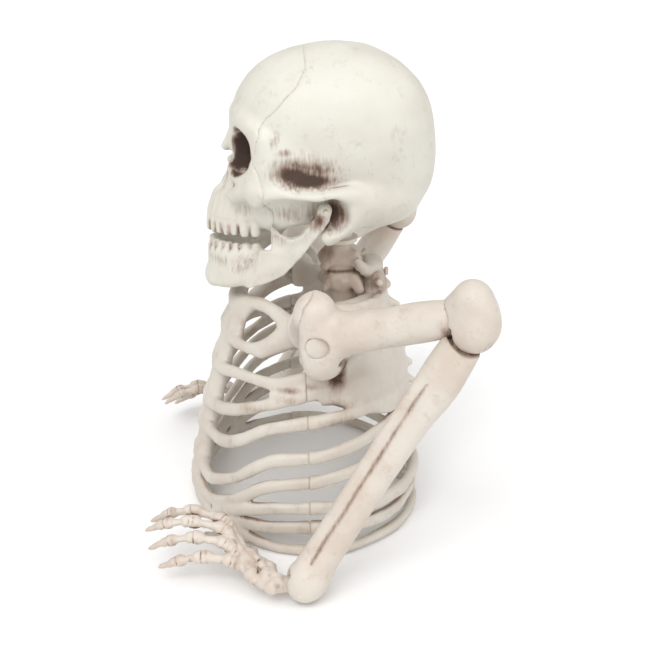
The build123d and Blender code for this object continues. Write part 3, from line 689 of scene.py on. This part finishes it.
# Breastbone: y, height and relative width, from the top
BREASTBONE = [(-47, 172, 1.25), (-53, 156, 1.25), (-61, 128, 1.1), (-69, 96, 0.9), (-77, 62, 0.8),
              (-84, 28, 0.75), (-86, 7, 0.6)]


def rib_rows(points, thick, lift):
    """One strand of a rib; two strands, one above the other, give its flat oval section."""
    rows = curve(points, 14)
    wobble = 0.35 * np.sin(rows[:, 1] / 9.0 + points[0][2])
    return [(x, y, z + lift, thick + w) for (x, y, z), w in zip(rows, wobble)]


def add_ribs(c):
    """All ribs, and the web between the second and third rib beside the shoulder blade."""
    for name, points in RIBS.items():
        lift = 1.6 if name != "ninth" else 0.4
        for offset in (-lift, lift):
            c.bar(rib_rows(points, RIB_RADIUS, offset), 1.5, step=6)
    c.bar([(75, -26, 121, 1.8), (79, -12, 125.5, 2.8), (80.5, 0, 128.5, 3.4), (80, 10, 130, 3.6)], 1.2)


def cage_front():
    """Front shell: ribs, rim, breastbone and collarbones."""
    c = Clay((-114, -96, -3), (114, 2, 186), 1.3, both=True)
    add_ribs(c)
    c.bar([(*p, 4.6) for p in RIM], 3)
    # cartilage swellings where the ribs meet the breastbone
    for points in list(RIBS.values())[:6]:
        start, after = np.array(points[:2], float)
        c.bar([(*start, 6.2), (*(start + 0.45 * (after - start)), 4.6)], 5)
    for x, back, r in ((0, 0, 3.6), (5, 0.3, 3.6), (10, 1.2, 3.8), (15, 3.2, 3.8), (19, 5.5, 3.4)):
        c.bar([(x * width, y + back, z, r) for y, z, width in BREASTBONE], 4)
    c.bar([(0, -49, 169, 4), (14, -47, 168, 5)], 5)
    c.bar([(0, -51, 158, 4), (13, -51, 152, 4.5)], 5)
    c.bar(CLAVICLE, 4)
    c.bar([(56, -31, 147, 5.0), (60, -21, 157, 6.0), (60, -11, 165, 7.0)], 5)
    c.bar([(30, -48, 146, 3.4), (28, -44, 160, 2.6), (30, -37, 172, 3.2)], 4)
    c.lumps(11, 0.5, 11)
    c.lumps(4, 0.16, 12)
    c.keep(np.maximum(c.y - SEAM_Y - 0.2, -c.z))
    return c


BLADE = [(84, 112), (87, 128), (82, 143), (64, 168), (44, 175), (20, 174), (0, 172), (0, 92), (14, 90),
         (30, 97), (48, 95), (62, 101), (72, 101), (80, 106)]
BARREL = {90: (98, 10, 79), 120: (88, 11, 74), 150: (72, 10, 65), 178: (50, 10, 55)}


def cage_back():
    """Back shell: ribs, shoulder blades, spine, rib collars and shoulder lugs."""
    c = Clay((-114, -4, -3), (114, 104, 202), 1.3, both=True)
    add_ribs(c)
    # shoulder-blade plate with its ridge and thick edges
    levels = sorted(BARREL)
    heights = c.z.ravel()
    a, mid, b = (np.interp(heights, levels, [BARREL[k][i] for k in levels])[None, None, :] for i in range(3))
    barrel = (np.sqrt((c.x / a) ** 2 + ((c.y - mid) / b) ** 2) - 1) * np.minimum(a, b)
    outline = polygon_distance(c.x[:, 0, :], c.z[:, 0, :], BLADE)[:, None, :]
    serration = 1.8 * np.sin(c.z / 2.4) * (c.x > 30)
    shell = np.abs(barrel + 1.9) - 1.9 - 1.2 * np.exp(-(outline / 5) ** 2)
    plate = np.maximum(np.maximum(shell, outline + serration), 9 - c.y)
    c.d = smooth_min(c.d, plate.astype(np.float32), 4)
    c.bar([(78, 24, 140, 4), (60, 48, 152, 4.5), (34, 62, 156, 3)], 5)
    c.bar([(84, 26, 116, 3.5), (66, 54, 103, 3.5)], 4)
    # spine: bodies, side processes and spinous processes
    spine = curve([(0, 59, 192), (0, 61, 166), (0, 70, 126), (0, 80, 76), (0, 86, 30), (0, 86, 5)], 1.0)
    c.bar([(*p, 6.6) for p in spine[::12]], 3)
    for height in range(10, 186, 17):
        x, y, z = spine[np.argmin(np.abs(spine[:, 2] - height))]
        c.bar([(0, y, z - 4, 8.6), (0, y, z + 4, 8.6)], 1.2)
        spine_tip = 17 if 90 < z < 172 else 11
        c.bar([(0, y + 4, z + 2, 3.6), (0, y + spine_tip, z - 5, 3.0)], 2.5)
        c.bar([(4, y + 1, z, 3.6), (15, y + 2, z + 2, 3.4)], 3)
    c.blob((3, 58, 193), (10, 8, 6), 3)
    c.bar([(4, 56, 186, 4), (13, 50, 192, 4.5), (15, 44, 200, 3)], 3)
    # collars that take the front ribs, and the shoulder lug
    for x, z in ((93, 105), (100.5, 81), (102.5, 61.5), (104.5, 41), (105, 25)):
        c.bar([(x, -0.5, z, 5.4), (x, 7, z + 0.5, 4.9)], 1)
    c.bar([(48, 5, 170, 12), (62, 5, 171, 12.5)], 5)
    c.bar([(50, 8, 169, 8), (30, 38, 168, 7), (8, 55, 166, 6)], 5)
    c.lumps(13, 0.5, 21)
    c.lumps(4, 0.18, 22)
    c.keep(np.maximum(SEAM_Y - 0.2 - c.y, -c.z))
    c.keep(np.where((c.z > 150) & (c.y < 26), c.x - 69.8, -5.0))
    return c


# Wash under the collarbones, at the sides and on the lower ribs; then round the neck, under the arms and
# down the spine
FRONT_SPOTS = [(0.4, (58, -14, 160), (12, 16, 14)), (0.4, (36, -44, 160), (26, 16, 18)),
               (0.5, (70, -36, 108), (22, 24, 9)), (0.75, (80, -10, 126), (10, 26, 4.5)),
               (0.5, (84, -14, 120), (12, 20, 7))]
FRONT_SPOTS += [(0.36, points[2], (14, 14, 9)) for points in list(RIBS.values())[3:]]
BACK_SPOTS = [(0.75, (0, 60, 180), (20, 16, 26)), (1.0, (81, 21, 138), (13, 12, 20)),
              (0.75, (80, 2, 129), (10, 16, 4.5)), (0.6, (84, 20, 113), (14, 24, 10)),
              (0.62, (93, 20, 105), (12, 32, 8)), (0.4, (4, 84, 60), (16, 16, 62))]

model("ribcage_front_bone", cage_front(), torso_bone, "torso", ["ribcage_front"], FRONT_SPOTS)
model("ribcage_back_bone", cage_back(), torso_bone, "torso", ["ribcage_back"], BACK_SPOTS)


# ---- neck and shoulder cups
def neck_clay():
    """Neck block like two vertebrae, with the swivel post on top."""
    c = Clay((-20, 10, 146), (20, 56, 248), 0.9)
    c.bar([(0, 38, 158, 8.5), (0, 35, 172, 10.5), (0, NECK_Y, 186, 12)], 3)
    for height, width in ((181, 12.5), (199, 14)):
        c.blob((0, NECK_Y, height), (width, width + 2.5, 9.5), 4)
        for sign in (-1, 1):
            c.bar([(8 * sign, 24, height + 2, 5), (13 * sign, 20, height - 3, 3.6)], 4)
            c.bar([(9 * sign, 42, height + 3, 5), (14 * sign, 46, height - 5, 3.2)], 4)
        c.bar([(0, 44, height, 4.2), (0, 50, height - 4, 2.8)], 2.5)
    c.bar([(0, NECK_Y, 203, 11), (0, NECK_Y, 208, 11)], 3)
    c.keep(np.maximum(c.z - 212.1, c.y - 51.4))
    post = np.maximum(np.sqrt(c.x ** 2 + (c.y - NECK_Y) ** 2) - 6, np.maximum(200 - c.z, c.z - 244.2))
    c.d = np.minimum(c.d, post)
    c.lumps(7, 0.9, 31)
    c.lumps(3, 0.3, 32)
    return c


def neck_wash(p):
    """Brown wash on the front and between the two vertebrae."""
    mask = 0.5 * np.clip((30 - p[:, 1]) / 6, 0, 1)
    groove = np.exp(-((p[:, 2] - 190.5) / 2.2) ** 2)
    return np.maximum(mask, 0.8 * groove)


def shoulder_radius(c):
    """Distance from the shoulder's pivot line."""
    return np.sqrt((c.y - SHOULDER[1]) ** 2 + (c.z - SHOULDER[2]) ** 2)


def cup_clay():
    """Round-edged disc between cage and arm."""
    c = Clay((66, -18, 148), (80, 28, 194), 0.8)
    radius, off = shoulder_radius(c), np.abs(c.x - CUP_X)
    disc = np.maximum(radius - CUP_RADIUS, off - 3.1)
    rim = np.sqrt(np.maximum(radius - CUP_RADIUS + 2, 0) ** 2 + np.maximum(off - 1.2, 0) ** 2) - 2.0
    c.d = np.minimum(np.maximum(disc, rim), 30).astype(np.float32)
    c.lumps(7, 0.4, 33)
    return c


def shoulder_pin_clay():
    """Domed pivot head on its shank."""
    c = Clay((66, -8, 158), (114, 18, 184), 0.6)
    radius = shoulder_radius(c)
    head = np.maximum(radius - 8.05, np.maximum(PIN_SEAT_X + 0.2 - c.x, c.x - 109.2 + radius ** 2 * 0.02))
    shank = np.maximum(radius - 3.8, np.maximum(68 - c.x, c.x - 106))
    c.d = np.minimum(head, shank).astype(np.float32)
    c.lumps(5, 0.3, 35)
    return c


model("shoulder_pin_bone", shoulder_pin_clay(), limb_bone, "torso", ["shoulder_pin_left"],
      twin=("torso", ["shoulder_pin_right"]), reach=3.0)
model("neck_column_bone", neck_clay(), neck_bone, "torso", ["neck_column"], neck_wash, reach=3.5)
model("shoulder_cup_bone", cup_clay(), torso_bone, "torso", ["shoulder_cup_left"],
      twin=("torso", ["shoulder_cup_right"]))


# ---- arms
def mould_line(z):
    """Where the moulding line runs down the front of the humerus head, as y at each height."""
    return np.interp(z, (138, 150, 168, 185, 198, 206), (1, -4, -7.5, -7.5, -4, 3))


def humerus_clay():
    """Upper arm: two-lobed head, shaft, and the pivot's bore and seat."""
    c = Clay((74, -20, 130), (146, 98, 216), 1.0)
    c.blob((94, 5, 188), (15, 15.5, 18.5), 0)
    c.blob((95, 10, 158), (14.5, 16.5, 17), 8)
    c.blob((96, 13, 171), (14.5, 18, 19), 8)
    rows = [(*(HUMERUS_START + HUMERUS_RUN * t), r) for t, r in
            ((0, 16.0), (0.16, 15.2), (0.35, 14.2), (0.6, 13.6), (0.8, 13.6), (0.9, 13.4), (0.985, 12.7))]
    c.bar(rows, 5)
    line = mould_line(c.z.ravel())[None, None, :] + 0.5 * np.sin(c.z / 2.7)
    groove = 0.9 * np.exp(-((c.y - line) / 0.7) ** 2) * (c.x > 93)
    c.d += groove - 0.5 * np.exp(-((c.y - line - 2.4) / 1.3) ** 2)
    c.bar([(104, 20, 158, 2.5), (112, 34, 164, 1.5), (120, 52, 176, 0.8)], 4, cut=True)
    c.keep(-np.maximum(shoulder_radius(c) - 7.7, PIN_SEAT_X - c.x))
    c.keep(4.1 - shoulder_radius(c))
    c.keep(77.0 - c.x)
    c.lumps(16, 0.7, 41)
    c.lumps(4.5, 0.2, 42)
    return c


def humerus_wash(p):
    """Brown wash behind the lower lobe, in the moulding line and at the elbow block."""
    mask = washed(p, [(1.2, (97, 25, 151), (16, 11, 17)), (0.4, (108, 26, 186), (12, 14, 10))])
    line = np.exp(-((p[:, 1] - mould_line(p[:, 2])) / 0.9) ** 2)
    mask = np.maximum(mask, 0.55 * line * (p[:, 0] > 93) * (p[:, 2] > 138))
    along = ((p - HUMERUS_START) @ HUMERUS_RUN) / (HUMERUS_RUN ** 2).sum()
    end = np.clip((along - 0.93) / 0.06, 0, 1)
    return np.maximum(mask, 0.7 * end * np.clip((208 - p[:, 2]) / 14, 0.3, 1))


def knuckle_clay():
    """Elbow block: knob with the shaft's seat and the slot for the forearm's tongue."""
    c = Clay((112, 76, 168), (162, 128, 232), 0.9)
    c.blob((138.5, 101.5, 211), (17.0, 14.8, 16.4), 0)
    c.blob((139, 104.5, 196), (17.4, 14.4, 16.4), 8)
    c.blob((140, 109, 203), (15, 8.6, 15), 4)
    c.bar([(134, 93, 204, 12.0), (137, 99, 206, 13.5)], 5)
    c.blob((139, 102.6, 197), (17.6, 17.4, 18.2), 4)
    tip = capsule(c.x, c.y, c.z, HUMERUS_START, HUMERUS_END, 12.8, 12.8)
    c.keep(-tip)
    inside = np.abs(c.x - ELBOW[0]) - 6.9
    slot = np.sqrt((c.y - ELBOW[1]) ** 2 + (c.z - ELBOW[2]) ** 2) - 11.6
    slot = np.minimum(slot, np.maximum(c.z - ELBOW[2], np.abs(c.y - ELBOW[1]) - 30))
    c.keep(-np.maximum(inside, slot))
    c.lumps(13, 0.6, 51)
    c.lumps(4, 0.2, 52)
    return c


# Wash under the knob and along the shaft's seam
KNUCKLE_SPOTS = [(0.5, (150, 110, 186), (12, 14, 10)), (0.6, (132, 88, 198), (20, 9, 18))]


def forearm_clay():
    """Two bones side by side that join at both ends, with the elbow's tongue and the wrist's fork."""
    c = Clay((122, -28, -4), (174, 120, 214), 1.15)
    # each bone: side, then its place along the forearm, radius and offset
    strands = ((1, ((0.085, 10.2, 3.0), (0.17, 9.4, 4.6), (0.24, 6.2, 8.2), (0.34, 4.6, 9.8),
                    (0.6, 4.6, 10.0), (0.85, 5.0, 9.8), (0.93, 6.4, 8.0))),
               (-1, ((0.085, 12.4, 2.6), (0.17, 13.0, 3.6), (0.25, 12.2, 3.6), (0.36, 11.0, 2.2),
                     (0.6, 10.6, 1.2), (0.85, 11.2, 1.2), (0.95, 11.8, 1.0))))
    for sign, steps in strands:
        c.bar([(*(ELBOW + FOREARM_RUN * t + AHEAD * sign * gap), r) for t, r, gap in steps], 1.2)
    c.blob(tuple(FOREARM_END + (0, 0, 1.2)), (14.4, 14.2, 15.2), 7)
    c.blob(tuple(FOREARM_END + (1, 7, 6)), (11, 8, 10), 4)
    py, pz = c.y - ELBOW[1], c.z - ELBOW[2]
    along = pz * AHEAD[1] - py * AHEAD[2]
    across = py * AHEAD[1] + pz * AHEAD[2]
    tongue = np.maximum(np.abs(across) - 6.2, np.maximum(-along, along - 30))
    tongue = np.minimum(tongue, np.sqrt(py ** 2 + pz ** 2) - 9.9)
    tongue = np.maximum(tongue, np.abs(c.x - ELBOW[0]) - 6.3)
    c.keep(18.7 - np.sqrt(py ** 2 + pz ** 2))
    c.d = smooth_min(c.d, tongue.astype(np.float32), 2)
    fork = np.maximum(np.abs(c.x - WRIST[0]) - 4.8, np.maximum(c.y + 2, c.z - 25))
    c.keep(-fork)
    c.lumps(18, 0.5, 61)
    c.lumps(4.5, 0.2, 62)
    c.keep(np.maximum(-c.z, c.x - 169.6))
    return c


def forearm_wash(p):
    """Brown wash in the groove between the two bones, and at both ends."""
    along = ((p - ELBOW) @ FOREARM_RUN) / (FOREARM_RUN @ FOREARM_RUN)
    off = (p - ELBOW - along[:, None] * FOREARM_RUN) @ AHEAD
    line = np.clip(1 - np.abs(off - 7.6) / 2.4, 0, 1) * ((along > 0.22) & (along < 0.92))
    mask = np.maximum(0.75 * line, 0.45 * spot(p, (158, 2, 24), (14, 10, 8)))
    return np.maximum(mask, 0.7 * np.clip((23.5 - np.linalg.norm(p - ELBOW, axis=1)) / 4, 0, 1))


FINGERS = {
    "thumb": [(136, -36, 14), (116, -46, 14), (103, -60, 18), (94, -79, 18)],
    "index": [(136, -42, 19), (106, -64, 37), (99, -87, 42), (96, -103, 38), (93.5, -118, 29.5)],
    "middle": [(139, -44, 19), (115, -63, 35), (110, -88, 40), (107, -106, 37), (103.5, -121, 29)],
    "ring": [(143, -44, 18), (125, -62, 30), (120, -85, 33), (117, -103, 29), (113.5, -119, 20.5)],
    "little": [(147, -42, 16), (135, -58, 22), (131, -80, 24), (129, -97, 20), (125.5, -112, 12.5)],
}
BONE_SHAPE = ((0.0, 1.0), (0.12, 1.12), (0.3, 0.74), (0.65, 0.68), (0.86, 1.08), (0.97, 1.12), (1.0, 0.9))


def hand_clay():
    """Carpals, wrist tongue and five fingers of jointed bones."""
    c = Clay((84, -126, 2), (166, 0, 50), 0.62)
    rng = np.random.RandomState(5)
    for x, y, z, r in ((148, -31, 13, 8), (141, -34, 15, 8), (150, -37, 15, 6.5), (143, -41, 15, 6.5),
                       (136, -38, 15, 6.5), (132, -43, 18, 6), (139, -45, 19, 6), (146, -45, 18, 6),
                       (150, -43, 16, 5), (130, -38, 14, 5), (157, -32, 14, 6), (149, -36, 20, 4.5),
                       (142, -38, 21, 4.5), (135, -41, 21, 4)):
        c.blob((x, y, z), r * (0.95 + 0.12 * rng.uniform(-1, 1, 3)), 0.35)
    c.bar([(155, -14, 14, 4.1), (154, -25, 14, 6.4), (149, -33, 15, 8)], 2)
    axle = np.sqrt((c.y - WRIST[1]) ** 2 + (c.z - WRIST[2]) ** 2)
    c.d = smooth_min(c.d, np.maximum(axle - 7.8, np.abs(c.x - WRIST[0]) - 4.1), 0.8)
    for name, places in FINGERS.items():
        places = np.array(places, float)
        thick = 4.5 if name != "thumb" else 4.7
        for i, (start, end) in enumerate(zip(places, places[1:])):
            size = thick * (1.0, 0.93, 0.82, 0.7)[i + (1 if name == "thumb" and i else 0)]
            if i == len(places) - 2:
                shape = ((0.0, 0.95), (0.14, 1.1), (0.4, 0.8), (0.75, 0.6), (1.0, 0.22))
            else:
                shape = BONE_SHAPE
            c.bar([(*(start + (end - start) * (0.04 + 0.92 * t)), size * r) for t, r in shape], 0.5, step=2.5)
    c.keep(np.where((c.y > -27) & (np.abs(c.x - WRIST[0]) > 4.2), 3.0, -5.0))
    c.lumps(3.4, 0.55, 71)
    c.lumps(1.8, 0.22, 72)
    return c


def hand_wash(p):
    """Uneven brown wash with a dark line at every finger joint."""
    uneven = noise(*p.T, 2.6, 73)
    rows = [(0.45, (141, -38, 14), (18, 14, 9)), (0.8, (154, -24, 14), (8, 6, 10))]
    rows += [(0.4, places[0], (7, 7, 8)) for places in FINGERS.values()]
    mask = np.maximum(washed(p, rows), 0.8 * np.clip(noise(*p.T, 5.5, 74) - 0.2, 0, 1))
    for places in FINGERS.values():
        places = np.array(places, float)
        for before, joint, after in zip(places, places[1:], places[2:]):
            heading = (after - before) / np.linalg.norm(after - before)
            off = (p - joint) @ heading
            near = (np.linalg.norm(p - joint, axis=1) < 7.5) * (0.62 + 0.5 * uneven)
            mask = np.maximum(mask, near * np.exp(-((off + 0.8 * uneven) / 0.85) ** 2))
            mask = np.maximum(mask, near * 0.6 * np.exp(-((off + 3.5) / 2.4) ** 2))
    return mask


for name, clay, finish, wash, body, reach in (
        ("humerus", humerus_clay(), limb_bone, humerus_wash, "upper_arm", 5.0),
        ("elbow_knuckle", knuckle_clay(), limb_bone, KNUCKLE_SPOTS, "upper_arm", 4.0),
        ("forearm", forearm_clay(), limb_bone, forearm_wash, "forearm", 5.0),
        ("hand", hand_clay(), hand_bone, hand_wash, "hand", 2.2)):
    model(name + "_bone", clay, finish, body + "_left", [name + "_left"], wash,
          twin=(body + "_right", [name + "_right"]), reach=reach)


# ---- hardware keeps its CAD shape
def metal_material():
    """Zinc-plated steel with fine turning marks."""
    material, nodes, links, shader = new_material("plated_steel")
    shader.inputs["Metallic"].default_value = 1.0
    coordinates = nodes.new("ShaderNodeTexCoord")
    grain = nodes.new("ShaderNodeTexNoise")
    grain.inputs["Scale"].default_value = 900.0
    links.new(coordinates.outputs["Object"], grain.inputs["Vector"])
    tint = nodes.new("ShaderNodeMix")
    tint.data_type = "RGBA"
    tint.inputs[6].default_value = (0.52, 0.52, 0.54, 1)
    tint.inputs[7].default_value = (0.66, 0.66, 0.67, 1)
    links.new(grain.outputs["Fac"], tint.inputs["Factor"])
    links.new(tint.outputs[2], shader.inputs["Base Color"])
    rough = nodes.new("ShaderNodeMapRange")
    rough.inputs["To Min"].default_value = 0.3
    rough.inputs["To Max"].default_value = 0.45
    links.new(grain.outputs["Fac"], rough.inputs["Value"])
    links.new(rough.outputs["Result"], shader.inputs["Roughness"])
    return material


steel = metal_material()
pin_plastic = bone_material("pin_plastic", (0.72, 0.66, 0.58), (0.64, 0.56, 0.48), 0.45, 0.3)
for name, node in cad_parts.items():
    metal = "screw" in name or "washer" in name
    if metal or "pin" in name or "bush" in name:
        finish = steel if metal else pin_plastic
        if name == "neck_screws" or "jaw" in name:
            finish = neck_bone    # painted over with the bone around them
        for place in node.material_slots:
            place.material = finish

# ---- stage, light and camera
scene = bpy.context.scene
scene.view_settings.view_transform = "Standard"
scene.view_settings.look = "None"


def floor_piece():
    """Wide pale floor."""
    far = 40.0
    mesh = bpy.data.meshes.new("floor")
    corners = [(-far, -far, 0), (far, -far, 0), (far, far, 0), (-far, far, 0)]
    mesh.from_pydata(corners, [], [(0, 1, 2, 3)])
    floor = bpy.data.objects.new("floor", mesh)
    scene.collection.objects.link(floor)
    material, _, _, shader = new_material("floor_paper")
    shader.inputs["Base Color"].default_value = (0.93, 0.93, 0.93, 1)
    shader.inputs["Roughness"].default_value = 0.9
    mesh.materials.append(material)
    floor.location.z = FLOOR_Z


def outward(heading, height):
    """Unit vector away from the figure, at a heading round Z and a height in degrees."""
    turn, rise = math.radians(heading), math.radians(height)
    return Vector((math.sin(turn) * math.cos(rise), -math.cos(turn) * math.cos(rise), math.sin(rise)))


def sun_light(name, heading, height, spread, strength):
    """Soft distant lamp, from a heading round Z and a height in degrees."""
    data = bpy.data.lights.new(name, "SUN")
    data.angle = math.radians(spread)
    data.energy = strength
    light = bpy.data.objects.new(name, data)
    light.rotation_euler = (-outward(heading, height)).to_track_quat("-Z", "Y").to_euler()
    scene.collection.objects.link(light)


floor_piece()
world = bpy.data.worlds.new("studio")
world.use_nodes = True
background = world.node_tree.nodes["Background"]
background.inputs["Color"].default_value = (1, 1, 1, 1)
background.inputs["Strength"].default_value = 0.6
scene.world = world
sun_light("key", 62, 50, 35, 1.35)
sun_light("fill", 128, 35, 60, 0.7)
sun_light("top", 0, 85, 60, 0.5)

away = outward(84.3, 22.7)
camera_data = bpy.data.cameras.new("camera")
camera_data.sensor_width = 36.0
camera_data.lens = 52.0
camera = bpy.data.objects.new("camera", camera_data)
camera.location = Vector((0, 0.019, 0.1442)) + away * 0.740
camera.rotation_euler = (-away).to_track_quat("-Z", "Y").to_euler()
scene.collection.objects.link(camera)
scene.camera = camera
